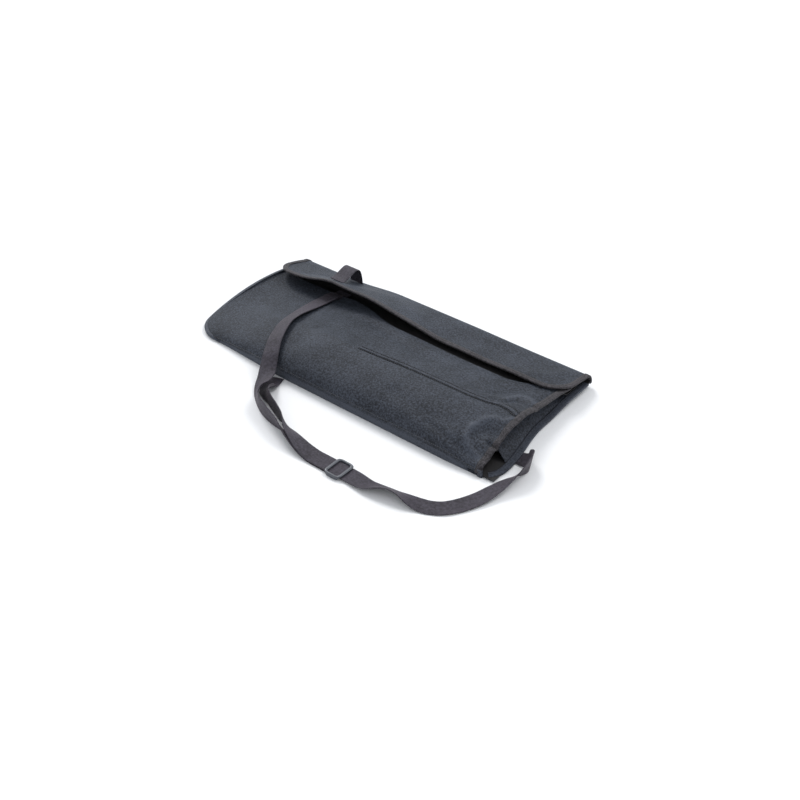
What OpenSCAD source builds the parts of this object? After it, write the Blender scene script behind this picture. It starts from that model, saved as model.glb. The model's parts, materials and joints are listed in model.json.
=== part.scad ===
// Carry bag for a folding music stand: a flat nylon bag with a flap, a bellows end
// and an adjustable webbing shoulder strap. It lies on its back panel.
// X runs along the bag from the closed left end to the bellows end, Y from the near
// long side to the far long side where the flap is hinged, Z is up, and the origin
// is the middle of the underside.

/* [Bag] */
// Length of the bag, from end seam to end seam
bag_l = 530; // [500:10:560]
// Width of the bag, from the near seam to the fold of the flap
bag_w = 257; // [240:1:270]
// Height of the crown of the filled front panel
bag_h = 46; // [42:1:52]
// Thickness of one layer of cloth with its lining
cloth = 1.2; // [0.8:0.1:1.6]
// Height of the low side wall on the near side
side_h = 12; // [10:1:14]

/* [Flap] */
// Depth of the flap, from the fold to its free edge
flap_d = 78; // [70:1:84]
// Radius of the flap's free corners
flap_r = 36; // [20:1:44]
// Height of the hinge line of the flap
hinge_z = 6.5; // [6:0.5:7]

/* [Webbing] */
// Width of the webbing
web_w = 25; // [20:1:30]
// Thickness of the webbing
web_t = 1.3; // [1:0.1:1.6]

/* [Binding] */
// Width of the binding tape
tape_w = 8; // [6:0.5:10]
// Thickness of the binding tape
tape_t = 0.8; // [0.6:0.1:1]

/* [Slider] */
// Length of the slider along the strap
slider_l = 27; // [26:1:32]
// Thickness of the slider's bars
slider_t = 1.8; // [1.6:0.1:2.4]

/* [Hidden] */

$fn = 32;
left_x = -bag_l / 2;
right_x = bag_l / 2;
far_y = bag_w / 2;
seam_y = -bag_w / 2;
// the crown runs along the bag this far in from the near seam
shoulder_w = 73;
// the front panel stops this far short of the fold
mouth_inset = 18;
// the near left corner is rounded
corner_r = 44;
// hinge line of the flap
hinge_y = far_y - 1;
// half width of the far edge roll
roll_w = 11;
// the roll of the back panel stops this far below the hinge line
roll_stop = 1.5;
// the flap's cloth starts this far above the hinge line
flap_start = 1;
// the near seam lies this far inside the bag's width, and bulges back out by this
seam_inset = 7;
seam_bulge = 7;
// heights at the flat left end: side wall, crown, fold of the flap
wall_left_h = 3.4;
crown_left_h = 18;
fold_left_h = 15.5;
// how much higher the fold stands along the filled part, and how far it drops at the right
fold_rise = 9;
fold_drop = 1.5;
// the crown drops this much at the bellows end
crown_drop = 4;
// the mouth's hem lies this far below the fold of the flap
hem_drop = 4;
// length of the left end over which its seam shapes the front panel
left_blend = 70;
// pieces that lie on each other are this far apart
gap = 0.4;

nylon = "dimgray";
webbing = "darkslategray";
tape = "gray";
plastic = "silver";

// Ramp from 0 to 1 with soft ends
function clamp01(v) = min(max(v, 0), 1);
function ease(v) = let (t = clamp01(v)) t * t * (3 - 2 * t);
function ramp(v, a, b) = ease((v - a) / (b - a));
function steps(a, b, n) = [for (i = [0 : n]) a + (b - a) * i / n];

// Outline of the near side: rounded at the left corner, bulged along the middle
function near_y(x) =
    let (c = max(left_x + corner_r - x, 0),
         bulge = seam_bulge * ramp(x, left_x + 45, left_x + 205) - 2 * ramp(x, right_x - 60, right_x))
    seam_y + seam_inset - bulge + corner_r - sqrt(max(corner_r * corner_r - c * c, 0));

// Heights along the bag: low side wall, crown, fold of the flap, mouth hem
function wall_h(x) = wall_left_h + (side_h - wall_left_h) * ramp(x, left_x, left_x + 200);
function crown_h(x) = crown_left_h + (bag_h - crown_left_h) * ramp(x, left_x, left_x + 235)
    - crown_drop * ramp(x, right_x - 130, right_x);
function fold_h(x) = fold_left_h + fold_rise * ramp(x, left_x + 100, left_x + 205)
    - fold_drop * ramp(x, right_x - 200, right_x - 80);
function hem_h(x) = fold_h(x) - hem_drop;
// Height of the left end seam, t runs from its near to its far end
function seam_h(t) = 5 + 52 * t * (1 - t) + 5 * t;

// Point of the front panel's outside: s runs from 0 at the near seam to 1 at the mouth
function front_point(x, s) =
    let (y0 = near_y(x), y1 = far_y - mouth_inset,
         yk = y0 + shoulder_w,
         a = min(s / 0.4, 1) * 90,
         t = max((s - 0.4) / 0.6, 0),
         y = s < 0.4 ? yk - shoulder_w * cos(a) : yk + (y1 - yk) * t,
         z = s < 0.4 ? wall_h(x) + (crown_h(x) - wall_h(x)) * sin(a)
                     : hem_h(x) + (crown_h(x) - hem_h(x)) * pow(1 - t, 1.45),
         u = (y - y0) / (y1 - y0),
         k = sin(90 * clamp01((x - left_x) / left_blend)))
    [x, y, seam_h(u) * (1 - k) + z * k];

// The same point moved inwards along the section's normal by d
function front_inside(x, s, d) =
    let (p = front_point(x, max(s - 0.01, 0)), q = front_point(x, min(s + 0.01, 1)),
         n = [0, p[2] - q[2], q[1] - p[1]], m = max(norm(n), 0.001))
    front_point(x, s) - d * n / m;

// Point of the front panel at a given y, on its flat upper part
function front_at(x, y) =
    let (y0 = near_y(x), y1 = far_y - mouth_inset, yk = y0 + shoulder_w)
    y > yk ? front_point(x, 0.4 + 0.6 * (y - yk) / (y1 - yk))
           : front_point(x, 0.4 * acos((yk - y) / shoulder_w) / 90);

// Depth of the flap at x, less at its rounded corners
function flap_depth(x) =
    let (c = max(flap_r - (x - left_x - 3), flap_r - (right_x + 3 - x), 0))
    flap_d - flap_r + sqrt(max(flap_r * flap_r - c * c, 0));
// Height of the flap's free edge: it stands off the front panel on the left
lip_h = 31;
lip_left_rise = 3;
lip_rise = 20;
function flap_lip(x) = lip_h + lip_left_rise * ramp(-x, 180, 230)
    + lip_rise * ramp(x, left_x + 30, left_x + 130) * ramp(-x, -80, 90);
// Point of the flap's outside: v is 0 at the hinge, 0.3 on top of the fold, 1 at the lip
function flap_point(x, v) =
    let (a = min(v / 0.3, 1) * 90,
         t = max((v - 0.3) / 0.7, 0),
         d = flap_depth(x),
         y = v < 0.3 ? hinge_y - roll_w + roll_w * cos(a) : hinge_y - roll_w - (d - roll_w) * t,
         z = v < 0.3 ? hinge_z + flap_start + (fold_h(x) - hinge_z - flap_start) * sin(a)
                     : fold_h(x) + (flap_lip(x) - fold_h(x)) * (d - roll_w) / (flap_d - roll_w) * t)
    [x, y, z];
function flap_inside(x, v, d) =
    let (p = flap_point(x, max(v - 0.01, 0)), q = flap_point(x, min(v + 0.01, 1)),
         n = [0, q[2] - p[2], p[1] - q[1]], m = max(norm(n), 0.001))
    flap_point(x, v) - d * n / m;

// A sheet with thickness: top and bottom are grids of points of the same size
module sheet(top, bottom) {
    rows = len(top);
    cols = len(top[0]);
    half = rows * cols;
    pts = [for (g = [top, bottom]) for (r = g) for (p = r) p];
    function id(i, j, k) = k * half + i * cols + j;
    upper = [for (i = [0 : rows - 2]) for (j = [0 : cols - 2])
        each [[id(i, j, 0), id(i, j + 1, 0), id(i + 1, j + 1, 0)],
              [id(i, j, 0), id(i + 1, j + 1, 0), id(i + 1, j, 0)]]];
    lower = [for (i = [0 : rows - 2]) for (j = [0 : cols - 2])
        each [[id(i, j, 1), id(i + 1, j + 1, 1), id(i, j + 1, 1)],
              [id(i, j, 1), id(i + 1, j, 1), id(i + 1, j + 1, 1)]]];
    ends = [for (i = [0 : rows - 2])
        each [[id(i, 0, 0), id(i + 1, 0, 0), id(i + 1, 0, 1)],
              [id(i, 0, 0), id(i + 1, 0, 1), id(i, 0, 1)],
              [id(i, cols - 1, 0), id(i + 1, cols - 1, 1), id(i + 1, cols - 1, 0)],
              [id(i, cols - 1, 0), id(i, cols - 1, 1), id(i + 1, cols - 1, 1)]]];
    sides = [for (j = [0 : cols - 2])
        each [[id(0, j, 0), id(0, j + 1, 1), id(0, j + 1, 0)],
              [id(0, j, 0), id(0, j, 1), id(0, j + 1, 1)],
              [id(rows - 1, j, 0), id(rows - 1, j + 1, 0), id(rows - 1, j + 1, 1)],
              [id(rows - 1, j, 0), id(rows - 1, j + 1, 1), id(rows - 1, j, 1)]]];
    polyhedron(pts, concat(upper, lower, ends, sides), convexity = 6);
}

// Webbing along a route: each stop is [x, y, height of the middle, twist in degrees].
// The twist raises the edge on the left of the way the route runs.
module ribbon(route, width = web_w, thick = web_t) {
    last = len(route) - 1;
    function spot(i) = [route[i][0], route[i][1], route[i][2]];
    function way(i) = let (d = spot(min(i + 1, last)) - spot(max(i - 1, 0))) d / norm(d);
    function flat(i) = let (d = way(i), f = [-d[1], d[0], 0]) f / norm(f);
    function across(i) = cos(route[i][3]) * flat(i) + sin(route[i][3]) * cross(way(i), flat(i));
    function face(i) = cross(way(i), across(i));
    edges = [for (e = [-1, 1]) [for (i = [0 : last])
        spot(i) + e * width / 2 * across(i) + thick / 2 * face(i)]];
    backs = [for (e = [-1, 1]) [for (i = [0 : last])
        spot(i) + e * width / 2 * across(i) - thick / 2 * face(i)]];
    sheet([edges[1], edges[0]], [backs[1], backs[0]]);
}

// ---- Cloth panels ----

module back_panel() {
    xs = steps(left_x + 5, right_x - 5, 26);
    roll = steps(18, 90, 4);
    r = hinge_z - roll_stop;
    outline = [for (x = xs) concat(
        [[x, near_y(x) + 2.4, 0], [x, 0, 0], [x, hinge_y - roll_w, 0]],
        [for (a = roll) [x, hinge_y - roll_w + roll_w * sin(a), r - r * cos(a)]])];
    lining = [for (x = xs) concat(
        [[x, near_y(x) + 2.4, cloth], [x, 0, cloth], [x, hinge_y - roll_w, cloth]],
        [for (a = roll) [x, hinge_y - roll_w + (roll_w - cloth) * sin(a),
                         r - (r - cloth) * cos(a)]])];
    color(nylon) sheet(lining, outline);
}

module front_panel() {
    xs = concat(steps(left_x + 1, left_x + 70, 8), steps(left_x + 90, right_x - 1, 17));
    ss = concat(steps(0, 0.4, 9), steps(0.46, 1, 9));
    color(nylon) sheet([for (x = xs) [for (s = ss) front_point(x, s)]],
                       [for (x = xs) [for (s = ss) front_inside(x, s, cloth)]]);
}

module near_gusset() {
    xs = concat(steps(left_x + 8, left_x + 70, 8), steps(left_x + 90, right_x - 1, 17));
    function low(x) = near_y(x) + 0.6 * ramp(x, left_x, left_x + 60);
    color(nylon) sheet(
        [for (x = xs) [[x, low(x), 0.2], [x, low(x) - 0.8, wall_h(x) * 0.5],
                       [x, low(x), front_point(x, 0)[2] - 0.8]]],
        [for (x = xs) [[x, low(x) + cloth, 0.2], [x, low(x) - 0.8 + cloth, wall_h(x) * 0.5],
                       [x, low(x) + cloth, front_point(x, 0)[2] - 0.8]]]);
}

module left_end_gusset() {
    ts = steps(0, 1, 12);
    y0 = near_y(left_x + 1) + 5;
    y1 = far_y - mouth_inset - 2;
    color(nylon) sheet(
        [for (t = ts) [[left_x + 3.6, y0 + (y1 - y0) * t, 0.2],
                       [left_x + 1.6, y0 + (y1 - y0) * t, seam_h(t) - cloth - 1]]],
        [for (t = ts) [[left_x + 3.6 + cloth, y0 + (y1 - y0) * t, 0.2],
                       [left_x + 1.6 + cloth, y0 + (y1 - y0) * t, seam_h(t) - cloth - 1]]]);
}

// The bellows end folds inwards: two leaves that meet at an inner crease
bellows_in = 24;
bellows_y0 = seam_y + 42;
bellows_y1 = far_y - mouth_inset - 2;
function crease_h(y) = front_at(right_x - 1, y)[2] * 0.55;
// The back panel's end stands out further near its near corner
end_out = 4;
end_flare = 14;
function end_x(y) = right_x + end_out + end_flare * ramp(-y, -10, 95);
leaf_foot_in = 8.5;
leaf_foot_z = web_t + 2.4;
leaf_foot_slope = 0.4;

module bellows_lower_leaf() {
    ys = steps(bellows_y0, bellows_y1, 14);
    color(nylon) sheet(
        [for (y = ys) [[end_x(y) - leaf_foot_in, y, leaf_foot_z],
                       [right_x - bellows_in, y, crease_h(y)]]],
        [for (y = ys) [[end_x(y) - leaf_foot_in - cloth, y, leaf_foot_z - leaf_foot_slope],
                       [right_x - bellows_in, y, crease_h(y) - cloth]]]);
}

module bellows_upper_leaf() {
    ys = steps(bellows_y0, bellows_y1, 14);
    color(nylon) sheet(
        [for (y = ys) [[right_x - 3, y, front_at(right_x - 1, y)[2] - cloth - 0.5],
                       [right_x - bellows_in, y, crease_h(y) + cloth + 0.4]]],
        [for (y = ys) [[right_x - 3, y, front_at(right_x - 1, y)[2] - 2 * cloth - 0.5],
                       [right_x - bellows_in, y, crease_h(y) + 0.4]]]);
}

module inner_pocket() {
    xs = steps(10, right_x - bellows_in - 6, 10);
    ys = steps(seam_y + 86, far_y - 40, 8);
    drop = cloth + 2.6;
    color(nylon) sheet(
        [for (x = xs) [for (y = ys) front_at(x, y) - [0, 0, drop]]],
        [for (x = xs) [for (y = ys) front_at(x, y) - [0, 0, drop + cloth]]]);
}

// ---- Binding tapes ----

// The hem runs along the mouth, and the tape of the right end stops short of it
hem_s = [0.94, 1];
tape_end_s = 0.92;
module mouth_hem() {
    xs = steps(left_x + 12, right_x - 3, 20);
    color(tape) sheet(
        [for (x = xs) [for (s = hem_s) front_inside(x, s, -tape_t - gap)]],
        [for (x = xs) [for (s = hem_s) front_inside(x, s, -gap)]]);
}

module front_end_binding() {
    ss = concat([0.02], steps(0.4 / 9, 0.4, 8), steps(0.46, 0.88, 7), [tape_end_s]);
    x0 = right_x - 1 - tape_w;
    color(tape) sheet(
        [for (s = ss) [for (x = [x0, right_x]) front_inside(x, s, -tape_t - gap)]],
        [for (s = ss) [for (x = [x0, right_x]) front_inside(x, s, -gap)]]);
}

// The tape on the back panel's end stands clear of the floor: the strap passes under it
back_tape_z = web_t + gap + 0.2;
back_tape_t = 1.2;
module back_end_binding() {
    ys = steps(seam_y + 20, far_y - 14, 14);
    color(tape) sheet(
        [for (y = ys) [[right_x - 4.6, y, back_tape_z + back_tape_t],
                       [end_x(y), y, back_tape_z + back_tape_t]]],
        [for (y = ys) [[right_x - 4.6, y, back_tape_z], [end_x(y), y, back_tape_z]]]);
}

module left_end_binding() {
    ts = steps(0.02, 0.98, 14);
    y0 = near_y(left_x + 1);
    y1 = far_y - mouth_inset;
    function at(t, x, z) = [x, y0 + (y1 - y0) * t, seam_h(t) + z];
    color(tape) sheet(
        [for (t = ts) [at(t, left_x - 2, 0.6), at(t, left_x + 0.7, 0.6)]],
        [for (t = ts) [at(t, left_x - 2, -2.4), at(t, left_x + 0.7, -2.4)]]);
}

module near_corner_binding() {
    x = right_x;
    color(tape) translate([x, near_y(x) + 0.5, 0.3])
        cube([3, tape_w, wall_h(x) - 1]);
}

// ---- Flap ----

flap_vs = concat(steps(0, 0.3, 6), steps(0.4, 1, 6));
module flap() {
    xs = concat(steps(left_x + 3.2, left_x + 40, 9), steps(left_x + 60, right_x - 56, 16),
                steps(right_x - 34, right_x + 2.8, 9));
    color(nylon) sheet(
        [for (x = xs) [for (v = flap_vs) flap_point(x, v)]],
        [for (x = xs) [for (v = flap_vs) flap_inside(x, v, cloth)]]);
}

module flap_binding() {
    xs = concat(steps(left_x + 3.2, left_x + 40, 12), steps(left_x + 60, right_x - 56, 16),
                steps(right_x - 34, right_x + 2.8, 12));
    // the tape lies on the outside of the cloth along the lip
    function start(x) = 1 - 0.7 * tape_w / (flap_depth(x) - roll_w);
    color(tape) sheet(
        [for (x = xs) [flap_inside(x, start(x), -tape_t), flap_inside(x, 1, -tape_t)]],
        [for (x = xs) [flap_inside(x, start(x), -0.1), flap_inside(x, 1, -0.1)]]);
}

// Hook and loop strips that hold the flap down
strip_x0 = 90;
strip_l = 60;
strip_w = 20;
module flap_hook_strip() {
    xs = steps(strip_x0, strip_x0 + strip_l, 6);
    color("black") sheet(
        [for (x = xs) [for (v = [0.72, 0.95]) flap_inside(x, v, cloth + 0.1)]],
        [for (x = xs) [for (v = [0.72, 0.95]) flap_inside(x, v, cloth + 0.9)]]);
}

module front_loop_strip() {
    xs = steps(strip_x0, strip_x0 + strip_l, 6);
    ys = steps(hinge_y - flap_d + 4, hinge_y - flap_d + 4 + strip_w, 3);
    color("black") sheet(
        [for (x = xs) [for (y = ys) front_at(x, y) + [0, 0, 0.9]]],
        [for (x = xs) [for (y = ys) front_at(x, y) + [0, 0, 0.1]]]);
}

// Webbing loop that stands up on the flap, both its feet sewn to the cloth
loop_x = -163;
loop_near = 0.88;
loop_far = 0.3;
loop_rise = 21;
loop_lean = 0.35;
module flap_webbing_loop() {
    vs = steps(loop_near, loop_far, 14);
    // the loop leans over the fold, so its crown is nearer the far foot
    function part(v) = (loop_near - v) / (loop_near - loop_far);
    function lift(v) = gap + loop_rise * sin(180 * pow(part(v), 1.6));
    function high(x, v) = flap_point(x, v) + [0, loop_lean * lift(v), lift(v)];
    color(webbing) sheet(
        [for (x = [loop_x, loop_x + web_w]) [for (v = vs) high(x, v) + [0, 0, web_t]]],
        [for (x = [loop_x, loop_x + web_w]) [for (v = vs) high(x, v)]]);
}

// ---- Webbing ----

// Middle line of the band that lies over the front panel, from under the flap
band_xy = [[-149, 60], [-148, 40], [-147, 20], [-144, 0], [-140, -20], [-134, -42], [-128, -64],
           [-120, -84], [-112, -101], [-105, -114]];
function band_lift(y) = web_t / 2 + 1.5 + web_w / 2 * sin(band_cant) + 1.4 * ramp(-y, 70, 112);
// The band's right edge stands off the cloth by this angle
band_cant = 14;
function band_tilt(x, y) =
    band_cant + atan((front_at(x + 5, y)[2] - front_at(x - 5, y)[2]) / 10);

module band_patch() {
    xs = [-163, -141];
    ys = steps(64, 84, 3);
    color(webbing) sheet(
        [for (x = xs) [for (y = ys) front_at(x, y) + [0, 0, web_t + gap]]],
        [for (x = xs) [for (y = ys) front_at(x, y) + [0, 0, gap]]]);
}

// Ground stops of a strap are [x, y, lift of the lower edge, twist]; this gives the height
// of the middle instead of the lift
function grounded(stops) = [for (p = stops)
    [p[0], p[1], p[2] + web_w / 2 * abs(sin(p[3])) + web_t / 2 * abs(cos(p[3])), p[3]]];

// The band comes off the near shoulder, stands on its edge, turns over and ends at the slider
band_lead = [[-99, -124, 25.2, 18], [-94.5, -132, 20, 14], [-90, -140.5, 14.4, 10],
    [-84, -151, 9.4, 14], [-77, -166, 4.4, 32], [-67, -183, 0.8, 66], [-52, -198, 0.2, 88],
    [-34, -207, 0.2, 90], [-14, -213.5, 0.2, 95], [6, -218.5, 0.2, 108], [24, -222.5, 0.2, 134],
    [40, -225.5, 0.2, 150], [58, -228, 0.15, 166], [76, -229, 0.1, 178], [90, -229, 0.1, 180]];
module cinch_strap() {
    band = [for (p = band_xy)
        [p[0], p[1], front_at(p[0], p[1])[2] + band_lift(p[1]), band_tilt(p[0], p[1])]];
    color(webbing) ribbon(concat(band, grounded(band_lead)));
}

// The shoulder strap comes from under the near seam, lies behind the band and then on it,
// runs through the slider and round to the bellows end
strap_lift = 2.4;
strap_z = strap_lift + web_t / 2;
strap_lead = [[-83, -133.5, 0.1, 0], [-78, -146, 0.2, 4], [-71, -160, 0.6, 14],
    [-62, -171, 0.4, 48], [-51, -181, 0.3, 82], [-35, -190, 0.3, 90], [-15, -199, 0.3, 92],
    [5, -207.5, 0.8, 104], [22, -215.5, 2, 134], [38, -221.5, 3.2, 150], [56, -226.5, 3, 166],
    [76, -229, strap_lift, 178], [92, -229, strap_lift, 180], [121, -229, strap_lift, 180],
    [146, -229, strap_lift, 180]];
strap_run = [[156, -229.5, 1.8, 177], [168, -229.5, 0.7, 168], [180, -227, 0.3, 154],
    [196, -223, 0.3, 142], [210, -221, 0.3, 144], [224, -219, 0.3, 162], [238, -216, 0.3, 176],
    [252, -211, 0.2, 180], [266, -201, 0.2, 178], [278, -184, 0.2, 172], [288, -162, 0.2, 162],
    [294, -140, 0.2, 150], [299, -120, 0.3, 138], [304, -103, 0.3, 120], [307, -88, 0.3, 102],
    [305, -76, 0.3, 98], [298, -68, 0.4, 126], [291, -66, 0.4, 158], [285, -65, 0.3, 176],
    [279, -65, 0.2, 180]];
module shoulder_strap() {
    color(webbing) ribbon(grounded(concat(strap_lead, strap_run)));
}

module strap_end_patch() {
    color(webbing) translate([right_x - 3, -65 - web_w / 2, 0.05])
        cube([16, web_w, web_t]);
}

// ---- Slider ----

slider_x = 121;
slider_y = -229;
slider_w = web_w + 7;
rail = 2.4;
bar = 3.2;
// heights of the end bars, which lie over the strap, and of the middle bar under it
end_bar_z = strap_z + web_t / 2 + 0.4;
mid_bar_z = 0.8;
mid_bar_t = 0.9;
module bar_box(x, z, w, t) {
    translate([slider_x + x - w / 2, slider_y - slider_w / 2, z]) cube([w, slider_w, t]);
}

module slider() {
    color(plastic) {
        for (e = [-1, 1])
            bar_box(e * (slider_l - bar) / 2, end_bar_z, bar, slider_t);
        bar_box(0, mid_bar_z, bar, mid_bar_t);
        for (e = [-1, 1])
            translate([slider_x - slider_l / 2, slider_y + e * (slider_w - rail) / 2 - rail / 2,
                       0.1])
                cube([slider_l, rail, end_bar_z + slider_t - 0.1]);
    }
}

// The end of the cinch strap goes round the slider's middle bar and is sewn to itself
module strap_bar_loop() {
    loop_l = 16;
    loop_t = 0.5;
    clear = 0.1;
    color(webbing) difference() {
        translate([slider_x - loop_l / 2, slider_y - web_w / 2, mid_bar_z - clear - loop_t])
            cube([loop_l, web_w, mid_bar_t + 2 * (clear + loop_t)]);
        bar_box(0, mid_bar_z - clear, bar + 2 * clear, mid_bar_t + 2 * clear);
    }
}

back_panel();
front_panel();
near_gusset();
left_end_gusset();
bellows_lower_leaf();
bellows_upper_leaf();
mouth_hem();
inner_pocket();
front_end_binding();
back_end_binding();
left_end_binding();
near_corner_binding();
flap();
flap_binding();
flap_hook_strip();
front_loop_strip();
flap_webbing_loop();
band_patch();
cinch_strap();
shoulder_strap();
strap_end_patch();
strap_bar_loop();
slider();
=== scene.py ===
"""Carry bag for a folding music stand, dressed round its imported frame.

The bag lies on its back panel, closed left end towards -X, bellows end towards +X, flap hinged
along the far side. Shapes are worked out in millimetres in the frame's own axes, and become
metres when a mesh is made.
"""

import json
import math

import bpy
import numpy as np
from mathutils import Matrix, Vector

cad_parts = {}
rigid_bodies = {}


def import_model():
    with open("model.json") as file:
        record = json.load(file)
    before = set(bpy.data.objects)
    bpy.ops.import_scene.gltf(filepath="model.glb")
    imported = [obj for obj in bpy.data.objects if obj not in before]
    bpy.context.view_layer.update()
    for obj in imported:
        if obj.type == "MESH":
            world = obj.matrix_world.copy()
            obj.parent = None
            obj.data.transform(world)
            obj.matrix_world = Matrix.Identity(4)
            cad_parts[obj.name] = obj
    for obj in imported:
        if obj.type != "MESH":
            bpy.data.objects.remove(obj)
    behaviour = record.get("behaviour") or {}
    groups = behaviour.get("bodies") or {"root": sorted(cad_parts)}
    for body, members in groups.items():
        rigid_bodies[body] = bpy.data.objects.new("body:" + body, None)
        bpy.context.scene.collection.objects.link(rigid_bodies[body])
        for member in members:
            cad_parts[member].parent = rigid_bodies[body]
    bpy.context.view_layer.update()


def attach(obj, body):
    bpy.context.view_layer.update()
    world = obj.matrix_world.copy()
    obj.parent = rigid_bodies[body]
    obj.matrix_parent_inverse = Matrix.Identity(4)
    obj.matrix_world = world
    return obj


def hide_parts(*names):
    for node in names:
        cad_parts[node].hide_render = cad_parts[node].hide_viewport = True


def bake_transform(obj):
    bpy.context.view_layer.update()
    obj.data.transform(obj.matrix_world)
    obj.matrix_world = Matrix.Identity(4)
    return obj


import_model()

# ---- Camera ----
# A long lens on a tripod, looking down at the bag from its near right corner.
azimuth = math.radians(39.3)
elevation = math.radians(36.3)
look_at = Vector((0.084, -0.0635, 0.0))
back_off = Vector((math.sin(azimuth) * math.cos(elevation),
                   -math.cos(azimuth) * math.cos(elevation), math.sin(elevation)))
camera = bpy.data.objects.new("camera", bpy.data.cameras.new("camera"))
bpy.context.collection.objects.link(camera)
camera.data.sensor_width = 36
camera.data.lens = 51.3
camera.data.clip_end = 60
camera_reach = 1.55
camera.location = look_at + camera_reach * back_off
camera.rotation_euler = (-back_off).to_track_quat("-Z", "Y").to_euler()
bpy.context.scene.camera = camera

# ---- Studio ----
# White sweep under two broad lights from above the far side, in a bright room, so that the floor
# stays white and the shadows are soft and short.
MM = 0.001
scene = bpy.context.scene
scene.view_settings.view_transform = "Standard"
scene.world = bpy.data.worlds.new("studio")
scene.world.use_nodes = True
nodes, room = scene.world.node_tree.nodes, scene.world.node_tree.links
sky = nodes["Background"]
sky.inputs["Color"].default_value = (0.93, 0.96, 1.0, 1)
sky.inputs["Strength"].default_value = 0.82
white_wall = nodes.new("ShaderNodeBackground")
white_wall.inputs["Color"].default_value = (1, 1, 1, 1)
seen = nodes.new("ShaderNodeLightPath")
either = nodes.new("ShaderNodeMixShader")
room.new(seen.outputs["Is Camera Ray"], either.inputs["Fac"])
room.new(sky.outputs["Background"], either.inputs[1])
room.new(white_wall.outputs["Background"], either.inputs[2])
room.new(either.outputs["Shader"], nodes["World Output"].inputs["Surface"])
for name, strength, spread, towards in (("left_key", 1.45, 22, (-0.80, 0.42, 0.85)),
                                        ("right_key", 0.85, 24, (0.30, 0.75, 1.0))):
    lamp = bpy.data.lights.new(name, "SUN")
    lamp.energy, lamp.angle = strength, math.radians(spread)
    holder = bpy.data.objects.new(name, lamp)
    holder.rotation_euler = Vector(towards).to_track_quat("Z", "Y").to_euler()
    bpy.context.collection.objects.link(holder)


def plain_mesh(name, points, faces, edges=()):
    """A mesh object of points in millimetres, with the faces or edges between them."""
    mesh = bpy.data.meshes.new(name)
    mesh.from_pydata([tuple(p) for p in np.asarray(points, float) * MM], edges, faces)
    mesh.update()
    piece = bpy.data.objects.new(name, mesh)
    bpy.context.collection.objects.link(piece)
    return piece


floor_half = 9000
floor = plain_mesh("floor", [(-floor_half, -floor_half, 0), (floor_half, -floor_half, 0),
                             (floor_half, floor_half, 0), (-floor_half, floor_half, 0)],
                   [(0, 1, 2, 3)])


class Shade:
    """One socket of a material. Arithmetic on it adds Math nodes, as on any number."""

    def __init__(self, tree, socket=None):
        self.tree, self.socket = tree, socket

    def node(self, kind, settings=(), sockets=(), out=0):
        """Adds a node: its settings first, then the values or links of its sockets."""
        made = self.tree.nodes.new(kind)
        for name, value in dict(settings).items():
            setattr(made, name, value)
        for name, value in dict(sockets).items():
            if isinstance(value, Shade):
                self.tree.links.new(value.socket, made.inputs[name])
            else:
                made.inputs[name].default_value = value
        return Shade(self.tree, made.outputs[out])

    def maths(self, operation, *others):
        """A Math node on this value and others."""
        return self.node("ShaderNodeMath", {"operation": operation},
                         dict(enumerate((self, *others))))

    def __add__(self, other):
        return self.maths("ADD", other)

    def __mul__(self, other):
        return self.maths("MULTIPLY", other)

    def __sub__(self, other):
        return self.maths("SUBTRACT", other)

    def __rsub__(self, other):
        return (self * -1) + other

    __radd__ = __add__
    __rmul__ = __mul__

    def sin(self):
        return self.maths("SINE")

    def abs(self):
        return self.maths("ABSOLUTE")

    def clamp(self):
        return self.maths("MINIMUM", 1.0).maths("MAXIMUM", 0.0)

    def noise(self, scale, detail=2.0, **more):
        """Noise in the object's own space."""
        place = self.node("ShaderNodeTexCoord", out=3)
        return self.node("ShaderNodeTexNoise", {},
                         {"Vector": place, "Scale": scale, "Detail": detail, **more})

    def between(self, dark, light):
        """The colour that goes from dark to light as this value goes from 0 to 1."""
        return self.node("ShaderNodeMix", {"data_type": "RGBA"},
                         {"Factor": self, "A": (*dark, 1), "B": (*light, 1)}, out=2)

    def bump(self, strength, distance):
        """The normal of a surface that stands up by this value times a distance in metres."""
        return self.node("ShaderNodeBump", {}, {"Height": self, "Strength": strength,
                                                "Distance": distance})


def finish_of(name, **shader):
    """A new material: the Shade to build on, and a function that plugs sockets into its shader."""
    material = bpy.data.materials.new(name)
    material.use_nodes = True
    tree = material.node_tree
    principled = tree.nodes["Principled BSDF"]
    for socket, value in shader.items():
        principled.inputs[socket.replace("_", " ")].default_value = value

    def plug(**links):
        for socket, value in links.items():
            tree.links.new(value.socket, principled.inputs[socket.replace("_", " ")])

    return material, Shade(tree), plug


white_paint, shade, plug = finish_of("studio_paper", Roughness=0.9)
plug(Base_Color=shade.noise(9.0).between((0.86, 0.86, 0.87), (0.88, 0.88, 0.88)))
floor.data.materials.append(white_paint)

# ---- Shape of the bag ----
# The filled bag as one form: a low wall on the near side, a shoulder that rounds up from it, a
# crown, and a slope down to the mouth under the flap. It thins to a bound seam at the left.
left_x, right_x = -265, 265
seam_y, far_y = -128.5, 128.5
mouth_y = far_y - 18
shoulder_w, corner_r = 73, 44
crown_s = 0.4
hinge_y, hinge_z, roll_w = far_y - 1, 6.5, 11
cloth_t = 1.2


def ramp(v, a, b):
    """0 before a, 1 after b, with soft ends."""
    t = np.clip((v - a) / (b - a), 0, 1)
    return t * t * (3 - 2 * t)


def spaced(*runs):
    """Values in even steps over each run of (from, to, how many)."""
    return np.concatenate([np.linspace(*run) for run in runs])


def near_y(x):
    """The near seam in plan, with its round left corner."""
    c = np.maximum(left_x + corner_r - x, 0)
    bulge = 7 * ramp(x, left_x + 45, left_x + 205) - 2 * ramp(x, right_x - 60, right_x)
    return seam_y + 7 - bulge + corner_r - np.sqrt(np.maximum(corner_r ** 2 - c ** 2, 0))


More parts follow.
